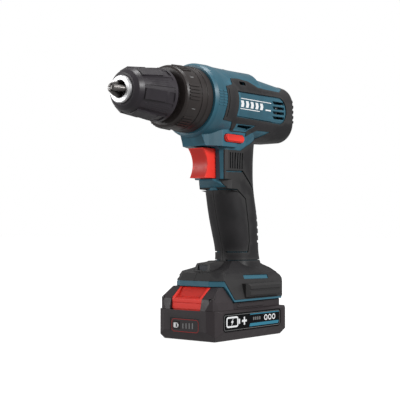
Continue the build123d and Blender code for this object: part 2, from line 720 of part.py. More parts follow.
def build_chuck_body():
    back = NUT_BACK_X - 0.2
    front = NUT_FRONT_X + 0.2
    body = turned([
        (48.6, SPINDLE_R), (48.6, 17.0), (51.6, 17.0), (51.6, 14.0), (back, 14.0), (back, THREAD_R),
        (front, THREAD_R), (front, 12.0), (86.2, 12.0), (86.2, 10.2), (91.4, 10.2), (NOSE_RING_X, 9.6),
        (NOSE_RING_X, 6.7), (90.0, 5.6), (66, 5.6), (66, 3.0), (62.2, 3.0), (62.2, SPINDLE_R),
    ])
    channel = tilted_rod(JAW_R + JAW_GAP, JAW_TIP_X + 6, 56)
    return body - around(channel, 3)


def build_chuck_nut():
    return turned([
        (NUT_BACK_X, jaw_back_r(NUT_BACK_X) + JAW_GAP), (NUT_BACK_X, 15.0), (NUT_FRONT_X, 15.0),
        (NUT_FRONT_X, jaw_back_r(NUT_FRONT_X) + JAW_GAP),
    ])


SLEEVE_TAPER = 6.5          # degrees
PAD_START = -102.0          # turns one pad to face the tool's left


def build_sleeve():
    """The hand sleeve: six raised pads with grooves between them."""
    sleeve = turned([
        (SLEEVE_BACK_X, 17.3), (SLEEVE_BACK_X, 19.6), (50.9, 20.3), (58, 19.7), (76, 17.6), (83.0, 16.4),
        (86.8, 14.8), (89.4, 12.4), (89.8, 10.9), (89.4, 10.35), (86.6, 10.35), (86.6, 12.3),
        (NUT_FRONT_X, 12.3), (NUT_FRONT_X, 15.0), (NUT_BACK_X, 15.0), (75.0, 15.4), (61.5, 17.35),
    ])

    def on_cone(x, radius, length, width, height):
        return Pos(x, 0, AXIS_Z + radius) * Rot(0, SLEEVE_TAPER, 0) * Box(length, width, height)

    pads = around(on_cone(72.5, 17.75, 20.0, 8.0, 1.6), 6, start=PAD_START)
    cuts = []
    for turn in (-12, 12):
        cuts += around(on_cone(69.0, 19.3, 30.0, 2.6, 2.6), 6, start=PAD_START + 30 + turn)
    for turn in (-5, 0, 5):
        cuts += around(on_cone(70.0, 19.3, 26.0, 1.0, 2.2), 6, start=PAD_START + 30 + turn)
    cuts += around(Pos(56.8, 0, AXIS_Z + 20.2) * Box(6.2, 7.0, 2.0), 6, start=PAD_START)
    return (sleeve + pads) - cuts


# ---------------------------------------------------------------- motor
def build_can():
    can = rod(CAN_R, -78, -30) - rod(16.2, -79, -31.6)
    can -= rod(5.0, -33, -29)
    return can - around(box(-36, -31, -2.5, 2.5, AXIS_Z + 12, AXIS_Z + 20), 4, start=45)


def build_magnets():
    ring = tube(16.2, 13.2, -70, -42)
    keep = end_prism([(-20, AXIS_Z - 9), (20, AXIS_Z - 9), (20, AXIS_Z + 9), (-20, AXIS_Z + 9)], -75, -35)
    return group((ring & keep).solids())


def build_end_cap():
    cap = rod(CAN_R, -81, -78) + rod(7.0, -85, -80) + rod(16.1, -78, -76.5)
    cap -= rod(SHAFT_R + 0.05, -86, -70)
    cap -= around(box(-82, -75, -3.5, 3.5, AXIS_Z + 8.5, AXIS_Z + 13.5), 2)
    return cap


def build_brushes():
    brushes = []
    for side in (-1, 1):
        y0, y1 = sorted((side * 5.1, side * 11.0))
        carbon = box(-75.6, -71.6, y0, y1, AXIS_Z - 2.2, AXIS_Z + 2.2)
        tail = box(-76.5, -75.6, y0, y1, AXIS_Z - 2.2, AXIS_Z + 2.2)
        brushes.append((carbon + tail) - rod(5.1, -80, -70))
    return group(brushes)


def build_core():
    core = rod(12.4, -68, -44) - rod(SHAFT_R, -69, -43)
    slots = around(box(-69, -43, -2.6, 2.6, AXIS_Z + 5.5, AXIS_Z + 11.0), 5)
    mouths = around(box(-69, -43, -0.9, 0.9, AXIS_Z + 10, AXIS_Z + 13), 5)
    return core - (slots + mouths)


def build_windings():
    """Coils of copper round each of the core's teeth, as one ring at each end."""
    rear = tube(10.6, 5.4, -70.4, -68)
    front = tube(10.6, 5.4, -44, -41.6)
    bars = around(box(-68, -44, -2.5, 2.5, AXIS_Z + 5.6, AXIS_Z + 10.5), 5)
    return (rear + bars) + front


def build_commutator():
    ring = tube(5.0, SHAFT_R, -76.4, -70.6)
    return ring - around(box(-77, -71.4, -0.2, 0.2, AXIS_Z + 4.2, AXIS_Z + 6), 5)


def build_fan():
    fan = rod(5.0, -40.8, -34.5) + rod(11.8, -35.5, -34.5)
    blade = Pos(-38, 0, AXIS_Z + 8) * Box(5.4, 0.8, 7.4)
    fan += around(blade, 9)
    return fan - rod(SHAFT_R, -42, -33)


def build_motor_plate():
    plate = rod(CASE_R, -30, -26.2) - rod(5.6, -31, -25)
    return plate - around(rod(1.6, -31, -25, 14.0), 2)


# ---------------------------------------------------------------- trigger, switch and direction button
TRIGGER_REAR_X = -11.0
SWITCH_FRONT_X = -20.5
PLUNGER_Z = 141.0


def build_trigger():
    """A trigger with a hollowed finger face, and the plunger that works the switch."""
    low = 126.4
    high = 149.8
    finger_face = Spline((5.0, low), (1.5, 138.4), (7.0, high))
    rest = Polyline((7.0, high), (TRIGGER_REAR_X, high), (TRIGGER_REAR_X, low), (5.0, low))
    side = make_face(Plane.XZ * (finger_face + rest))
    trigger = Pos(0, TRIGGER_HALF_W, 0) * extrude(side, 2 * TRIGGER_HALF_W, dir=(0, -1, 0))
    plunger = rod(3.0, -27.0, TRIGGER_REAR_X + 1, z=PLUNGER_Z)
    return trigger + plunger


def build_switch():
    body = box(-44, SWITCH_FRONT_X, -11.5, 11.5, 127.5, 150.4)
    body -= rod(3.3, -36, SWITCH_FRONT_X + 1, z=PLUNGER_Z)
    body += box(-40, -36, -3.0, 3.0, 150.4, 152.6)
    body += box(-36, -30, -9.0, 9.0, 121.5, 127.5)
    return body


def build_direction_button():
    """One bar right through the housing, pushed from either side."""
    shoulder = BUTTON_HALF_W - 0.9
    bar = side_pill(BUTTON_LENGTH, BUTTON_HEIGHT, BUTTON_X, BUTTON_Z, -shoulder, shoulder)
    face_length = BUTTON_LENGTH - 1.6
    face = side_pill(face_length, BUTTON_HEIGHT - 1.6, BUTTON_X, BUTTON_Z, -BUTTON_HALF_W, BUTTON_HALF_W)
    return bar + face


# ---------------------------------------------------------------- battery terminals and pack
BLADE_Y = (-12.0, -4.0, 4.0, 12.0)


def build_terminal_block():
    block = box(-60, -40, -15.5, 15.5, 43.6, 50.0)
    block += [box(-60, -50, y - 0.4, y + 0.4, 31.0, 44.0) for y in BLADE_Y]
    return block


def pack_plan(half_width, rear, front, corner):
    """Plan outline with soft front corners."""
    soft = corner * (1 - math.cos(math.radians(45)))
    return mirrored([
        (rear, half_width - 6), (rear + 1.8, half_width - 1.8), (rear + 6, half_width),
        (front - corner, half_width), (front - soft, half_width - soft), (front, half_width - corner),
    ])


def tray_form(inset):
    front = PACK_FRONT_X - inset
    rear = PACK_REAR_X + inset
    half_width = PACK_HALF_W - inset
    plan = plan_prism(pack_plan(half_width, rear, front, 9.0), 0, PACK_SPLIT_Z)
    side = side_prism([
        (PACK_REAR_X + 5.5, inset), (PACK_FRONT_X - 5.5, inset), (front, 7.5), (front, PACK_SPLIT_Z),
        (rear + 4.0, PACK_SPLIT_Z), (rear, 18.0), (rear, 8.0),
    ], -40, 40)
    section = end_prism(both_sides([
        (PACK_HALF_W - 4.6, inset), (half_width, 6.8), (half_width, 21.8), (half_width - 1.8, PACK_SPLIT_Z),
    ]), -90, 40)
    return plan & side & section


def cover_form(inset):
    front = PACK_FRONT_X - inset
    rear = COVER_REAR_X + inset
    top = PACK_TOP_Z - inset
    side = side_prism([
        (rear, PACK_SPLIT_Z), (front, PACK_SPLIT_Z), (front - 2.0, 32.2), (6.8 - inset, top), (rear, top),
    ], -40, 40)
    front_section = end_prism(both_sides([
        (28.0 - inset, PACK_SPLIT_Z), (26.9 - inset, 30), (23.2 - inset, top),
    ]), -10, 30)
    front_section &= side_prism([(-5.6, 20), (-5.6, 30.2), (2.0, 41.9), (30, 41.9), (30, 20)], -40, 40)
    rear_section = end_prism(both_sides([
        (26.5 - inset, PACK_SPLIT_Z), (26.5 - inset, 28.6), (25.4 - inset, 29.2), (22.2 - inset, top),
    ]), -90, 20)
    plan = plan_prism(pack_plan(28.2 - inset, rear, front, 8.4), PACK_SPLIT_Z, PACK_TOP_Z)
    return side & (front_section + rear_section) & plan


LATCH_HALF_W = 15.0
GAUGE_HALF_W = 14.5


def build_tray():
    mouth = box(-69, 17, -26.3, 26.3, PACK_SPLIT_Z - 3, PACK_SPLIT_Z + 1)
    tray = tray_form(0) - tray_form(2.0) - mouth
    for side in (-1, 1):
        y0, y1 = sorted((side * (PACK_HALF_W - 0.5), side * (PACK_HALF_W + 1)))
        tray -= side_prism([
            (-64, 7.2), (8.0, 7.0), (10.0, 9.0), (10.0, 19.4), (8.0, 21.4), (-64, 21.4), (-66, 19.4), (-66, 9.2),
        ], y0, y1)
    tray -= Pos(PACK_FRONT_X, 0, 11.6) * Box(0.8, 2 * GAUGE_HALF_W, 11.4)
    tray -= box(PACK_FRONT_X - 4, PACK_FRONT_X + 1, -12.3, -5.7, 8.7, 14.5)
    room_half_w = LATCH_HALF_W + 0.5
    tray -= box(PACK_FRONT_X - 10, PACK_FRONT_X - 1.6, -room_half_w, room_half_w, 17.5, PACK_SPLIT_Z + 1)
    spring_shelf = box(8.5, PACK_FRONT_X - 1.8, -5, 5, 16, 18)
    return tray + spring_shelf


def build_cover():
    mouth = box(-69, 17, -24, 24, PACK_SPLIT_Z - 1, PACK_SPLIT_Z + 1.5)
    cover = cover_form(0) - cover_form(2.0) - mouth
    pocket_half_w = LATCH_HALF_W + 0.4
    pocket = box(-1.5, 30, -pocket_half_w, pocket_half_w, PACK_SPLIT_Z - 1, PACK_TOP_Z + 1)
    back_wall = box(-3.5, -1.5, -17.4, 17.4, PACK_SPLIT_Z, PACK_TOP_Z - 1) & cover_form(0.5)
    cover = cover + back_wall
    for side in (-1, 1):
        y0, y1 = sorted((side * pocket_half_w, side * (pocket_half_w + 1.8)))
        cover += box(-3.5, 25, y0, y1, PACK_SPLIT_Z, PACK_TOP_Z) & cover_form(0)
    cover -= pocket
    for y in BLADE_Y:
        cover -= box(-80, -48, y - 2.4, y + 2.4, 29.5, PACK_TOP_Z + 1)
    for side in (-1, 1):
        y0, y1 = sorted((side * 21.9, side * 30.0))
        cover -= box(-80, -7.5, y0, y1, 32.6, 36.2)
        cover -= Pos(16.2, side * 24.0, 29.6) * Rot(0, 0, side * 45) * Box(2.0, 4.2, 6.6)
        y0, y1 = sorted((side * 26.0, side * 27.2))
        cover += side_prism([(-46, 25.0), (-12, 25.0), (-15, 27.8), (-48, 27.8)], y0, y1)
    return cover


def build_latch():
    """The red release: a scooped top face over an upright lower face with a finger step."""
    latch = side_prism([
        (7.2, 24.2), (17.6, 24.2), (17.4, 31.8), (16.2, 33.0), (12.8, 33.6), (10.0, 37.0), (6.6, 40.8),
        (3.0, 40.8), (3.0, 38.4), (7.2, 36.0),
    ], -LATCH_HALF_W, LATCH_HALF_W)
    for side in (-1, 1):
        y0, y1 = sorted((side * (LATCH_HALF_W - 2.2), side * LATCH_HALF_W))
        latch += side_prism([(9, 31.8), (17.4, 31.8), (16.8, 33.0), (7.6, 40.8), (6.6, 40.8)], y0, y1)
    latch += box(9, 17.2, -LATCH_HALF_W + 0.6, LATCH_HALF_W - 0.6, 22.2, 24.6)
    latch -= box(17.0, 18, -LATCH_HALF_W - 1, LATCH_HALF_W + 1, 28.6, 29.2)
    return latch - Pos(12, 0, 24) * Cylinder(3.2, 6)


def build_latch_spring():
    return Pos(12, 0, 0) * Rot(0, -90, 0) * coil(2.3, 0.4, 18.0, 26.8, 5, z=0)


def build_gauge_button():
    return box(PACK_FRONT_X - 3.0, PACK_FRONT_X - 0.1, -12.0, -6.0, 9.0, 14.2)


def build_cells():
    cells = []
    for y in (-18.7, 0.0, 18.7):
        cell = rod(CELL_R, -66, -66 + CELL_LENGTH, y, 11.6) + rod(3.0, -1.2, 0.0, y, 11.6)
        cells.append(cell)
    return group(cells)


def build_pack_board():
    board = box(-62, -8, -20, 20, 22.4, 24.0)
    clips = []
    for y in BLADE_Y:
        for side in (-1, 1):
            clips.append(box(-60, -52, *sorted((y + side * 0.9, y + side * 1.6)), 24.0, 36.0))
    return board + clips


# ---------------------------------------------------------------- write every node
def build_all():
    nodes = build_housing()
    nodes["housing_screws"] = build_screws()
    nodes["foot_bumpers"] = build_bumper()
    nodes["work_light_lens"] = build_lens()
    nodes["gearbox_case"] = build_gearbox_case()
    nodes["motor_plate"] = build_motor_plate()
    nodes["input_ring_gear"] = ring_gear(-26.0, -18.2, RING_BODY_R)
    nodes["output_ring_gear"] = ring_gear(-4.0, 11.9, RING_BODY_R)
    nodes["clutch_balls"] = build_balls()
    nodes["spindle_bearings"] = build_bearings()
    nodes["motor_can"] = build_can()
    nodes["motor_magnets"] = build_magnets()
    nodes["motor_end_cap"] = build_end_cap()
    nodes["motor_brushes"] = build_brushes()
    nodes["switch_body"] = build_switch()
    nodes["terminal_block"] = build_terminal_block()
    nodes["clutch_collar"] = build_collar()
    nodes["clutch_nut"] = build_clutch_nut()
    nodes["clutch_spring"] = coil(14.8, 1.1, 16.1, 33.3, 4)
    nodes["output_spindle"] = build_spindle()
    nodes["chuck_body"] = build_chuck_body()
    nodes["chuck_screw"] = rod(2.5, 54, 66) + rod(4.4, 66, 68.5)
    nodes["chuck_sleeve"] = build_sleeve()
    nodes["chuck_nut"] = build_chuck_nut()
    for i in range(3):
        nodes["chuck_jaw_%d" % (i + 1)] = build_jaw(i)
    nodes["first_carrier"] = build_carrier((-18.0, -14.0), STAGE_1[0], STAGE_2)
    nodes["second_carrier"] = build_carrier((-6.0, -3.3), STAGE_2[0], STAGE_3)
    for stage, span in enumerate((STAGE_1, STAGE_2, STAGE_3), start=1):
        for i in range(3):
            nodes["planet_gear_%d%s" % (stage, "abc"[i])] = planet(*span, i)
    nodes["rotor_shaft"] = rod(SHAFT_R, -84.6, -18.7)
    nodes["rotor_core"] = build_core()
    nodes["rotor_windings"] = build_windings()
    nodes["commutator"] = build_commutator()
    nodes["cooling_fan"] = build_fan()
    nodes["motor_pinion"] = spur(SUN_TEETH, *STAGE_1, bore=SHAFT_R)
    nodes["shift_ring"] = build_shift_ring()
    nodes["shift_fork"] = build_shift_fork()
    nodes["speed_selector"] = build_selector()
    nodes["trigger"] = build_trigger()
    nodes["trigger_spring"] = coil(4.4, 0.5, SWITCH_FRONT_X + 0.1, TRIGGER_REAR_X - 0.1, 4, z=PLUNGER_Z)
    nodes["direction_button"] = build_direction_button()
    nodes["pack_tray"] = build_tray()
    nodes["pack_cover"] = build_cover()
    nodes["pack_cells"] = build_cells()
    nodes["pack_board"] = build_pack_board()
    nodes["pack_latch"] = build_latch()
    nodes["latch_spring"] = build_latch_spring()
    nodes["gauge_button"] = build_gauge_button()
    return nodes


for node_name, node_shape in build_all().items():
    save(node_name, node_shape)
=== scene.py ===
"""Cordless drill driver: materials, printed marks, floor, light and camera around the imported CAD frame."""
import math
from collections import namedtuple

import bmesh
import bpy
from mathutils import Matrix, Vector


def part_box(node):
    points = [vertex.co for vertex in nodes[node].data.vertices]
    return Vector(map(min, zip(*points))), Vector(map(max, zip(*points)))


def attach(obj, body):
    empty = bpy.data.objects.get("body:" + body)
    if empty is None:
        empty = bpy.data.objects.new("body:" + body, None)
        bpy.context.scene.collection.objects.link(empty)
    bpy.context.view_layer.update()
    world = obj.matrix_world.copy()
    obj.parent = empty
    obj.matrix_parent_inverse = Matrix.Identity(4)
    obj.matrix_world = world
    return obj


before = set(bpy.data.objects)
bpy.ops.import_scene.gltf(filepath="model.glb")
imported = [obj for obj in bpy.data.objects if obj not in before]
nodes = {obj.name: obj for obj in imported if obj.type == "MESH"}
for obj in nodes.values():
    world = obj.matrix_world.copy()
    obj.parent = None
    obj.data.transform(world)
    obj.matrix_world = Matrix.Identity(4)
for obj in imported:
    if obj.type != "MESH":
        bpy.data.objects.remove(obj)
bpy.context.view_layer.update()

MM = 0.001
TEAL = (0.021, 0.092, 0.132)
RED = (0.62, 0.026, 0.016)
BLACK = (0.010, 0.010, 0.011)
INK_WHITE = (0.82, 0.83, 0.84)
INK_BLUE = (0.030, 0.20, 0.30)
INK_RED = (0.34, 0.016, 0.014)

AXIS_Z = (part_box("chuck_body")[0][2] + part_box("chuck_body")[1][2]) / 2 / MM


# ---------------------------------------------------------------- material helpers
class Shader:
    """A node material on one Principled shader, with short calls for the parts used here."""

    def __init__(self, name, colour, roughness, metallic=0.0, specular=0.5):
        self.material = bpy.data.materials.new(name)
        self.material.use_nodes = True
        self.tree = self.material.node_tree
        self.shader = self.tree.nodes["Principled BSDF"]
        self.shader.inputs["Base Color"].default_value = (*colour, 1)
        self.shader.inputs["Roughness"].default_value = roughness
        self.shader.inputs["Metallic"].default_value = metallic
        self.shader.inputs["Specular IOR Level"].default_value = specular
        self.normal = None
        self.place = self.add("ShaderNodeTexCoord").outputs["Object"]

    def add(self, kind, **settings):
        node = self.tree.nodes.new(kind)
        for key, value in settings.items():
            setattr(node, key, value)
        return node

    def link(self, start, end):
        self.tree.links.new(start, end)

    def stretched(self, scale):
        """Object coordinates scaled differently along each axis."""
        mapping = self.add("ShaderNodeMapping")
        mapping.inputs["Scale"].default_value = scale
        self.link(self.place, mapping.inputs["Vector"])
        return mapping.outputs["Vector"]

    def noise(self, scale, detail=2.0, vector=None):
        node = self.add("ShaderNodeTexNoise")
        node.inputs["Scale"].default_value = scale
        node.inputs["Detail"].default_value = detail
        self.link(vector or self.place, node.inputs["Vector"])
        return node.outputs["Fac"]

    def cells(self, scale):
        node = self.add("ShaderNodeTexVoronoi")
        node.inputs["Scale"].default_value = scale
        self.link(self.place, node.inputs["Vector"])
        return node.outputs["Distance"]

    def ranged(self, value, low, high, new_low, new_high):
        """The value's range from low to high, stretched or squeezed to the new one."""
        node = self.add("ShaderNodeMapRange")
        self.link(value, node.inputs["Value"])
        node.inputs["From Min"].default_value = low
        node.inputs["From Max"].default_value = high
        node.inputs["To Min"].default_value = new_low
        node.inputs["To Max"].default_value = new_high
        return node.outputs["Result"]

    def soft_edges(self, radius):
        """Rounds the look of moulded and machined corners."""
        bevel = self.add("ShaderNodeBevel", samples=4)
        bevel.inputs["Radius"].default_value = radius
        self.normal = bevel.outputs["Normal"]
        self.link(self.normal, self.shader.inputs["Normal"])
        return self

    def bump(self, height, strength, distance):
        node = self.add("ShaderNodeBump")
        node.inputs["Strength"].default_value = strength
        node.inputs["Distance"].default_value = distance
        self.link(height, node.inputs["Height"])
        if self.normal:
            self.link(self.normal, node.inputs["Normal"])
        self.normal = node.outputs["Normal"]
        self.link(self.normal, self.shader.inputs["Normal"])
        return self

    def blend(self, factor, first, second):
        """A colour that runs from one to the other; each may be a colour or a socket."""
        mix = self.add("ShaderNodeMix", data_type="RGBA")
        self.link(factor, mix.inputs[0])
        for socket, value in zip([s for s in mix.inputs if s.type == "RGBA"], (first, second)):
            if isinstance(value, tuple):
                socket.default_value = (*value, 1)
            else:
                self.link(value, socket)
        return [s for s in mix.outputs if s.type == "RGBA"][0]

    def paint(self, colour):
        self.link(colour, self.shader.inputs["Base Color"])
        return self

    def wear_and_highlight_edges(self, colour, worn_and_lit):
        """Lightens convex edges a little: partly wear where hands and the bench polish them, partly a painted
        highlight along the edges.
        """
        pointiness = self.add("ShaderNodeNewGeometry").outputs["Pointiness"]
        return self.blend(self.ranged(pointiness, 0.51, 0.56, 0.0, 0.6), colour, worn_and_lit)

    def gloss(self, factor, low, high):
        """Roughness that wanders between two values."""
        self.link(self.ranged(factor, 0.3, 0.7, low, high), self.shader.inputs["Roughness"])
        return self


def shade(colour, factor):
    return tuple(c * factor for c in colour)


def moulded(name, colour, gloss, grain, depth, edge=0.45, vary=0.12, **settings):
    """Spark-textured moulded plastic: fine grain, faint flow marks and soft edges, lightened a little partly by
    polish from wear and partly as a painted highlight.
    """
    look = Shader(name, colour, gloss[0], **settings).soft_edges(edge * MM)
    flow = look.ranged(look.noise(55, 3.0), 0.3, 0.7, 0, 1)
    body = look.blend(flow, shade(colour, 1 - vary), shade(colour, 1 + vary))
    # convex edges lightened 1.7 times: partly wear, partly a painted highlight
    look.paint(look.wear_and_highlight_edges(body, shade(colour, 1.7)))
    look.gloss(look.noise(210, 3.0), *gloss)
    look.bump(look.noise(grain, 2.0), 0.35, depth * MM)
    return look.material


def metal(name, colour, roughness, brush, dark=0.75):
    """Machined metal with fine marks that run round or along the piece."""
    look = Shader(name, colour, roughness, metallic=1.0).soft_edges(0.22 * MM)
    marks = look.noise(1.0, 3.0, look.stretched(brush))
    look.paint(look.blend(look.ranged(marks, 0.3, 0.7, 0, 1), shade(colour, dark), colour))
    look.gloss(marks, roughness * 0.8, roughness * 1.4)
    look.bump(marks, 0.2, 0.03 * MM)
    return look.material


# ---------------------------------------------------------------- materials
def teal_plastic():
    return moulded("teal_plastic", TEAL, (0.34, 0.44), 2600, 0.05, edge=0.6, specular=0.45)


def rubber():
    look = Shader("rubber", BLACK, 0.55, specular=0.35).soft_edges(0.5 * MM)
    dust = look.ranged(look.noise(38, 5.0), 0.35, 0.75, 0, 1)
    body = look.blend(dust, (0.010, 0.0093, 0.0105), (0.024, 0.022, 0.024))
    # convex edges lifted to a lighter grey: partly wear, partly a painted highlight
    look.paint(look.wear_and_highlight_edges(body, (0.035, 0.034, 0.034)))
    look.gloss(look.noise(150, 3.0), 0.44, 0.60)
    look.bump(look.cells(2200), 0.5, 0.06 * MM)
    return look.material


def black_plastic():
    return moulded("black_plastic", (0.021, 0.016, 0.018), (0.40, 0.52), 2400, 0.05, edge=0.6, specular=0.4)


def collar_plastic():
    brown_black = (0.019, 0.014, 0.013)
    return moulded("collar_plastic", brown_black, (0.36, 0.47), 2400, 0.05, edge=0.35, specular=0.45)


def chuck_plastic():
    return moulded("chuck_plastic", (0.019, 0.015, 0.020), (0.32, 0.44), 1800, 0.04, edge=0.5, specular=0.45)


def red_plastic():
    return moulded("red_plastic", RED, (0.36, 0.46), 2600, 0.03, edge=0.7, vary=0.08, specular=0.4)


def film(name, colour, gloss, specular=0.3):
    """Printed film or ink: even colour with a slightly uneven gloss."""
    look = Shader(name, colour, gloss, specular=specular)
    look.paint(look.blend(look.noise(90, 3.0), shade(colour, 0.94), shade(colour, 1.06)))
    look.gloss(look.noise(400, 2.0), gloss, gloss * 1.3)
    look.bump(look.noise(1500, 2.0), 0.15, 0.02 * MM)
    return look.material


def lens():
    look = Shader("lens", (0.10, 0.105, 0.12), 0.12)
    look.shader.inputs["Transmission Weight"].default_value = 0.35
    look.shader.inputs["IOR"].default_value = 1.45
    look.bump(look.noise(900, 1.0), 0.1, 0.05 * MM)
    return look.material


LOOKS = {
    "teal_plastic": teal_plastic(),
    "rubber": rubber(),
    "black_plastic": black_plastic(),
    "collar_plastic": collar_plastic(),
    "chuck_plastic": chuck_plastic(),
    "red_plastic": red_plastic(),
    "lens": lens(),
    "bright_steel": metal("bright_steel", (0.68, 0.68, 0.69), 0.42, (500, 2600, 2600), dark=0.85),
    "jaw_steel": metal("jaw_steel", (0.20, 0.19, 0.185), 0.36, (2600, 500, 500), dark=0.55),
    "gear_steel": metal("gear_steel", (0.36, 0.35, 0.34), 0.35, (900, 2500, 2500)),
    "cast_metal": metal("cast_metal", (0.52, 0.53, 0.54), 0.42, (1500, 1500, 1500)),
    "copper": metal("copper", (0.72, 0.33, 0.16), 0.3, (600, 3000, 3000)),
    "cell_sleeve": moulded("cell_sleeve", (0.03, 0.16, 0.34), (0.25, 0.35), 1500, 0.02),
    "circuit_board": moulded("circuit_board", (0.012, 0.10, 0.035), (0.3, 0.4), 3000, 0.03),
    "ferrite": moulded("ferrite", (0.035, 0.035, 0.038), (0.5, 0.65), 2000, 0.05),
    "label_film": film("label_film", (0.004, 0.004, 0.005), 0.4, specular=0.06),
    "ink_white": film("ink_white", INK_WHITE, 0.4),
    "ink_grey": film("ink_grey", (0.20, 0.20, 0.20), 0.45),
    "ink_blue": film("ink_blue", INK_BLUE, 0.4),
    "ink_red": film("ink_red", INK_RED, 0.4),
}
NODE_LOOKS = {
    "teal_plastic": ["housing_left", "housing_right"],
    "rubber": ["overmould_left", "overmould_right", "foot_bumpers"],
    "black_plastic": [
        "pack_tray", "pack_cover", "switch_body", "terminal_block", "cooling_fan", "speed_selector", "gauge_button",
    ],
    "collar_plastic": ["clutch_collar"],
    "chuck_plastic": ["chuck_sleeve"],
    "red_plastic": ["trigger", "direction_button", "pack_latch"],
    "lens": ["work_light_lens"],
    "bright_steel": [
        "chuck_body", "chuck_screw", "output_spindle", "housing_screws", "motor_can", "rotor_shaft",
    ],
    "jaw_steel": ["chuck_jaw_1", "chuck_jaw_2", "chuck_jaw_3", "chuck_nut"],
    "cast_metal": ["gearbox_case", "motor_plate", "motor_end_cap"],
    "copper": ["rotor_windings", "commutator"],
    "cell_sleeve": ["pack_cells"],
    "circuit_board": ["pack_board"],
    "ferrite": ["motor_magnets", "motor_brushes"],
}


def dress_nodes():
    """Give every CAD node its material; the hidden drive parts share the gear steel."""
    chosen = {node: look for look, names in NODE_LOOKS.items() for node in names}
    for name, item in nodes.items():
        item.data.materials.clear()
        item.data.materials.append(LOOKS[chosen.get(name, "gear_steel")])


# ---------------------------------------------------------------- outlines of printed marks, in mm
Line = namedtuple("Line", "outer inner")


def bar(x0, y0, x1, y1, lean=0.0):
    """A block; lean shifts its top sideways."""
    return [(x0, y0), (x1, y0), (x1 + lean, y1), (x0 + lean, y1)]


def rounded(x0, y0, x1, y1, radius, steps=6):
    """A block with round corners."""
    points = []
    corners = ((x1, y0, -90), (x1, y1, 0), (x0, y1, 90), (x0, y0, 180))
    for x, y, start in corners:
        cx = x - math.copysign(radius, x - (x0 + x1) / 2)
        cy = y - math.copysign(radius, y - (y0 + y1) / 2)
        for i in range(steps + 1):
            angle = math.radians(start + 90 * i / steps)
            points.append((cx + radius * math.cos(angle), cy + radius * math.sin(angle)))
    return points


def border(x0, y0, x1, y1, radius, width):
    """A closed line with rounded corners."""
    inner = rounded(x0 + width, y0 + width, x1 - width, y1 - width, radius - width)
    return Line(rounded(x0, y0, x1, y1, radius), inner)


def ring(x, y, radius, width):
    """A round closed line; the corners stop just short of meeting, so that no two points coincide."""
    return border(x - radius, y - radius, x + radius, y + radius, radius * 0.999, width)


def bolt(x, y, size):
    """A lightning flash."""
    shape = [(0.1, 0.2), (0.62, 0.2), (-0.45, -1.0), (-0.05, -0.12), (-0.62, -0.12), (0.55, 1.0)]
    return [(x + size * px, y + size * py) for px, py in shape]


def chevron(x, y, width, height, lean):
    """A block whose two ends point the same way by lean."""
    middle = y + height / 2
    top = y + height
    right = x + width
    return [(x, y), (right, y), (right + lean, middle), (right, top), (x, top), (x + lean, middle)]


def cross(x, y, arm, width):
    """A plus sign."""
    half = width / 2
    corner = [(half, -arm), (half, -half), (arm, -half)]
    points = []
    for turn in range(4):
        points += corner
        corner = [(-cy, cx) for cx, cy in corner]
    return [(x + px, y + py) for px, py in points]


def battery_sign(x, y, width, height, line):
    """A battery lying on its side, with its small terminal."""
    terminal = height * 0.45
    middle = y + height / 2
    start = x + width + line * 0.3
    return [
        border(x, y, x + width, y + height, line * 1.6, line),
        bar(start, middle - terminal / 2, start + line * 1.3, middle + terminal / 2),
    ]


# ---------------------------------------------------------------- placing marks on the object
def on_left(front_x, y, base_z):
    """Maps (along, up, out) to the tool's left side, read from the front backwards."""
    return lambda u, v, w: (front_x - u, y + w, base_z + v)


def on_right(rear_x, y, base_z):
    """Maps onto the right side, read from the rear forwards."""
    return lambda u, v, w: (rear_x + u, -y - w, base_z + v)


def on_front(x):
    """Maps onto a face that looks forwards; along runs towards the tool's left."""
    return lambda u, v, w: (x + w, u, v)


def on_top(x, top, rise):
    """Maps onto the top of the housing, read from behind; rise is how much it climbs towards the front."""
    return lambda u, v, w: (x + v, -u, top + rise * v + w)


def round_axis(x, radius, angle, slope=0.0):
    """Maps onto a cone about the spindle: u runs round it, v along it; angle 90 is the top."""
    def place(u, v, w):
        reach = radius - slope * v + w
        turn = math.radians(angle) - u / radius
        return (x + v, reach * math.cos(turn), AXIS_Z + reach * math.sin(turn))
    return place


def add_loop(shell, outline, place, out):
    return [shell.verts.new([c * MM for c in place(u, v, out)]) for u, v in outline]


def add_band(shell, first, second):
    """A strip of faces between two loops of as many points."""
    for i in range(len(first)):
        shell.faces.new((first[i - 1], first[i], second[i], second[i - 1]))


def printed(name, marks, place, look, body, thickness=0.08, sink=0.1):
    """Thin raised ink or film: each outline or line becomes one slab on the surface that place maps to."""
    shell = bmesh.new()
    for mark in marks:
        outline = mark.outer if isinstance(mark, Line) else mark
        low = add_loop(shell, outline, place, -sink)
        high = add_loop(shell, outline, place, thickness)
        add_band(shell, low, high)
        if isinstance(mark, Line):
            inner_low = add_loop(shell, mark.inner, place, -sink)
            inner_high = add_loop(shell, mark.inner, place, thickness)
            add_band(shell, high, inner_high)
            add_band(shell, inner_high, inner_low)
            add_band(shell, inner_low, low)
        else:
            shell.faces.new(high)
            shell.faces.new(list(reversed(low)))
    bmesh.ops.recalc_face_normals(shell, faces=shell.faces)
    return finish_piece(name, shell, look, body)


def finish_piece(name, shell, look, body):
    mesh = bpy.data.meshes.new(name)
    shell.to_mesh(mesh)
    shell.free()
    item = bpy.data.objects.new(name, mesh)
    bpy.context.scene.collection.objects.link(item)
    mesh.materials.append(LOOKS[look])
    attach(item, body)
    return item


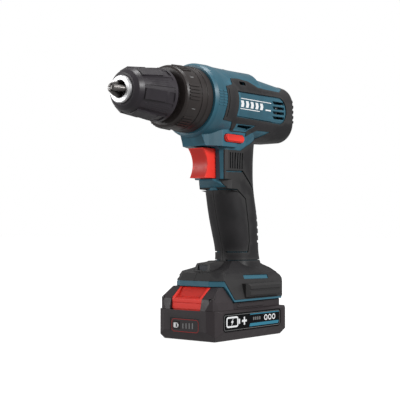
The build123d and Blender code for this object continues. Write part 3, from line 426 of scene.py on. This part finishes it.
def lettered(name, text, size, place, look, body):
    """A number as a thin slab, centred on place's origin."""
    curve = bpy.data.curves.new(name + "_curve", "FONT")
    curve.body = text
    curve.size = size
    curve.align_x = "CENTER"
    curve.align_y = "CENTER"
    curve.extrude = NUMBER_DEPTH
    curve.resolution_u = 3
    source = bpy.data.objects.new(name + "_curve", curve)
    bpy.context.scene.collection.objects.link(source)
    bpy.context.view_layer.update()
    flat = bpy.data.meshes.new_from_object(source.evaluated_get(bpy.context.evaluated_depsgraph_get()))
    bpy.data.objects.remove(source)
    shell = bmesh.new()
    shell.from_mesh(flat)
    bmesh.ops.remove_doubles(shell, verts=shell.verts, dist=0.0001)
    for vert in shell.verts:
        vert.co = Vector(place(vert.co.x, vert.co.y, vert.co.z - NUMBER_SINK)) * MM
    bmesh.ops.recalc_face_normals(shell, faces=shell.faces)
    return finish_piece(name, shell, look, body)


# ---------------------------------------------------------------- the marks themselves
LABEL_RECESS = 0.5      # depth of the recess that the film lies in
LABEL_FILM = 0.22       # thickness of the film
LABEL_SETBACK = 10.5    # from the battery's front to the film
LABEL_LENGTH = 75.0
LABEL_HEIGHT = 13.6
LABEL_BASE_Z = 7.4
GAUGE_RECESS = 0.4
PANEL_FRONT_X = -17.5
PANEL_LENGTH = 42.0
PANEL_Y = 25.5
PANEL_BASE_Z = 182.4
COLLAR_STACKS = 6
COLLAR_R = 24.38
DRUM_R = 29.0
NUMBER_DEPTH = 0.14     # half the thickness of a raised number
NUMBER_SINK = 0.04      # how far its middle lies below the surface


def pack_labels():
    """The rating film on each side of the battery, with pictograms in place of wording."""
    recess_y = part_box("pack_tray")[1][1] / MM - LABEL_RECESS
    front_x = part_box("pack_tray")[1][0] / MM - LABEL_SETBACK
    rear_x = front_x - LABEL_LENGTH
    film_y = recess_y + LABEL_FILM
    sides = {
        "left": (on_left(front_x, recess_y, LABEL_BASE_Z), on_left(front_x, film_y, LABEL_BASE_Z)),
        "right": (on_right(rear_x, recess_y, LABEL_BASE_Z), on_right(rear_x, film_y, LABEL_BASE_Z)),
    }
    film_outline = rounded(0.0, 0.0, LABEL_LENGTH, LABEL_HEIGHT, 2.2)
    signs = battery_sign(3.6, 3.0, 15.0, 8.4, 1.35) + [bolt(11.0, 7.2, 3.0), cross(26.4, 7.2, 3.1, 1.6)]
    signs += [ring(55.0 + 5.4 * i, 8.0, 2.3, 0.9) for i in range(3)]
    lines = [border(0.9, 0.9, LABEL_LENGTH - 0.9, LABEL_HEIGHT - 0.9, 1.8, 0.3)]
    lines += [bar(38.0 + 2.7 * i, 6.9, 39.4 + 2.7 * i, 9.3) for i in range(4)]
    stripes = [bar(33.0, 2.2, 72.0, 4.6, 0.9), bar(34.0, 11.3, 73.0, 12.1)]
    for side, (on_recess, on_film) in sides.items():
        printed(
            "label_" + side, [film_outline], on_recess, "label_film", "pack", LABEL_FILM,
        )
        printed("label_signs_" + side, signs, on_film, "ink_white", "pack")
        printed("label_lines_" + side, lines, on_film, "ink_grey", "pack")
        printed("label_stripes_" + side, stripes, on_film, "ink_blue", "pack")


def gauge_marks():
    """The charge gauge on the front: a red outline, a battery sign on the button and four bars."""
    face_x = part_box("pack_tray")[1][0] / MM - GAUGE_RECESS
    outline = border(-13.6, 6.6, 13.6, 16.6, 2.6, 0.45)
    printed("gauge_outline", [outline], on_front(face_x), "ink_red", "pack")
    bars = [bar(-2.6 + 3.2 * i, 9.4, -1.5 + 3.2 * i, 13.2 + 0.25 * i) for i in range(4)]
    printed("gauge_bars", bars, on_front(face_x), "ink_grey", "pack")
    button_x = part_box("gauge_button")[1][0] / MM
    sign = [rounded(-10.8, 10.3, -9.2, 12.9, 0.2)] + battery_sign(-11.4, 9.7, 4.2, 3.8, 0.5)
    printed("gauge_sign", sign, on_front(button_x), "ink_white", "gauge_button")


def panel_marks():
    """A row of chevrons between two thin lines on each side panel."""
    sides = {
        "left": on_left(PANEL_FRONT_X, PANEL_Y, PANEL_BASE_Z),
        "right": on_right(PANEL_FRONT_X - PANEL_LENGTH, PANEL_Y, PANEL_BASE_Z),
    }
    marks = [
        bar(0.0, 6.9, PANEL_LENGTH, 7.5, 0.2),
        bar(0.0, -1.3, 26.0, -0.7, 0.2),
        bar(34.0, 0.4, 41.5, 1.5, 0.3),
    ]
    marks += [chevron(1.0 + 6.4 * i, 0.4, 3.6, 5.2, 0.9) for i in range(5)]
    for side, place in sides.items():
        printed("panel_marks_" + side, marks, place, "ink_white", "housing", thickness=0.1, sink=0.4)


def collar_numbers():
    """Torque settings between the collar's rib stacks, and the pointer on the housing."""
    for i in range(COLLAR_STACKS):
        place = round_axis(35.4, COLLAR_R, 360 / COLLAR_STACKS * i - 26, slope=0.05)
        lettered("collar_number_%d" % (i + 1), str(2 * i + 1), 5.2, place, "ink_grey", "collar")
    pointer = [(-1.3, -2.2), (1.3, -2.2), (0.0, 0.6)]
    printed("collar_pointer", [pointer], round_axis(12.6, DRUM_R, 90, slope=0.03), "ink_white", "housing")


def scale_ribs():
    """Two columns of short raised ribs on each side of the drum, behind the collar."""
    ribs = []
    for column in (3.4, 8.6):
        for row in range(6):
            low = -6.2 + 2.2 * row
            ribs.append(bar(low, column, low + 0.9, column + 4.2))
    for side, middle in (("left", 0.0), ("right", 180.0)):
        place = round_axis(0.0, DRUM_R + 0.35, middle, slope=0.03)
        printed(
            "scale_ribs_" + side, ribs, place, "teal_plastic", "housing", thickness=0.3,
        )


def gear_numbers():
    """1 behind the gear slide and 2 ahead of it, on the top of the housing."""
    for text, x, top, rise in (("1", -55.0, 210.5, 0.094), ("2", -12.8, 214.55, 0.02)):
        place = on_top(x, top, rise)
        lettered("gear_number_" + text, text, 4.2, place, "ink_white", "housing")


# ---------------------------------------------------------------- floor, light and camera
ROOM_LIGHT = 0.42       # how bright the room is for the object; the camera sees plain white
FLOOR_GLOW = 0.90
FLOOR_GREY = (0.32, 0.32, 0.32)
AIM = (0.0, 0.0, 0.12)  # the lights point at the handle's middle
LIGHTS = {              # place in m, disk size in m, power in W
    "key": ((-0.15, 1.3, 0.75), 0.5, 15),
    "front": ((1.1, -0.85, 0.55), 0.8, 8),
    "top": ((-0.25, 0.0, 1.4), 0.5, 6.5),
}


def build_floor():
    """A pale floor that takes the shadow and fades into the white backdrop."""
    bpy.ops.mesh.primitive_plane_add(size=16, location=(0, 0, 0))
    floor = bpy.context.object
    floor.name = "floor"
    look = Shader("floor", FLOOR_GREY, 0.8, specular=0.0)
    look.shader.inputs["Emission Color"].default_value = (1, 1, 1, 1)
    look.shader.inputs["Emission Strength"].default_value = FLOOR_GLOW
    look.bump(look.noise(40, 2.0), 0.02, 0.2 * MM)
    floor.data.materials.append(look.material)
    floor.visible_diffuse = False
    floor.visible_glossy = False


def area_light(name, place, size, power):
    data = bpy.data.lights.new(name, "AREA")
    data.shape = "DISK"
    data.size = size
    data.energy = power
    item = bpy.data.objects.new(name, data)
    item.location = place
    item.rotation_euler = (Vector(AIM) - Vector(place)).to_track_quat("-Z", "Y").to_euler()
    bpy.context.scene.collection.objects.link(item)


def build_light():
    """A softly lit room and three disk lights."""
    world = bpy.data.worlds.new("studio")
    world.use_nodes = True
    tree = world.node_tree
    backdrop = tree.nodes["Background"]
    backdrop.inputs["Color"].default_value = (1, 1, 1, 1)
    seen = tree.nodes.new("ShaderNodeLightPath")
    level = tree.nodes.new("ShaderNodeMapRange")
    level.inputs["To Min"].default_value = ROOM_LIGHT
    tree.links.new(seen.outputs["Is Camera Ray"], level.inputs["Value"])
    tree.links.new(level.outputs["Result"], backdrop.inputs["Strength"])
    bpy.context.scene.world = world
    for name, (place, size, power) in LIGHTS.items():
        area_light(name, place, size, power)


CAMERA_PLACE = (0.58196, 0.48063, 0.08522)
CAMERA_AZIMUTH = 129.62     # degrees about Z
CAMERA_ELEVATION = -1.81    # degrees above the horizon
CAMERA_LENS = 86.0


def build_camera():
    azimuth = math.radians(CAMERA_AZIMUTH)
    elevation = math.radians(CAMERA_ELEVATION)
    level = math.cos(elevation)
    back = Vector((math.sin(azimuth) * level, -math.cos(azimuth) * level, math.sin(elevation)))
    data = bpy.data.cameras.new("camera")
    data.sensor_width = 36.0
    data.lens = CAMERA_LENS
    item = bpy.data.objects.new("camera", data)
    item.location = CAMERA_PLACE
    item.rotation_euler = back.to_track_quat("Z", "Y").to_euler()
    bpy.context.scene.collection.objects.link(item)
    bpy.context.scene.camera = item


dress_nodes()
pack_labels()
gauge_marks()
panel_marks()
collar_numbers()
scale_ribs()
gear_numbers()
build_floor()
build_light()
build_camera()
bpy.context.scene.view_settings.view_transform = "Standard"
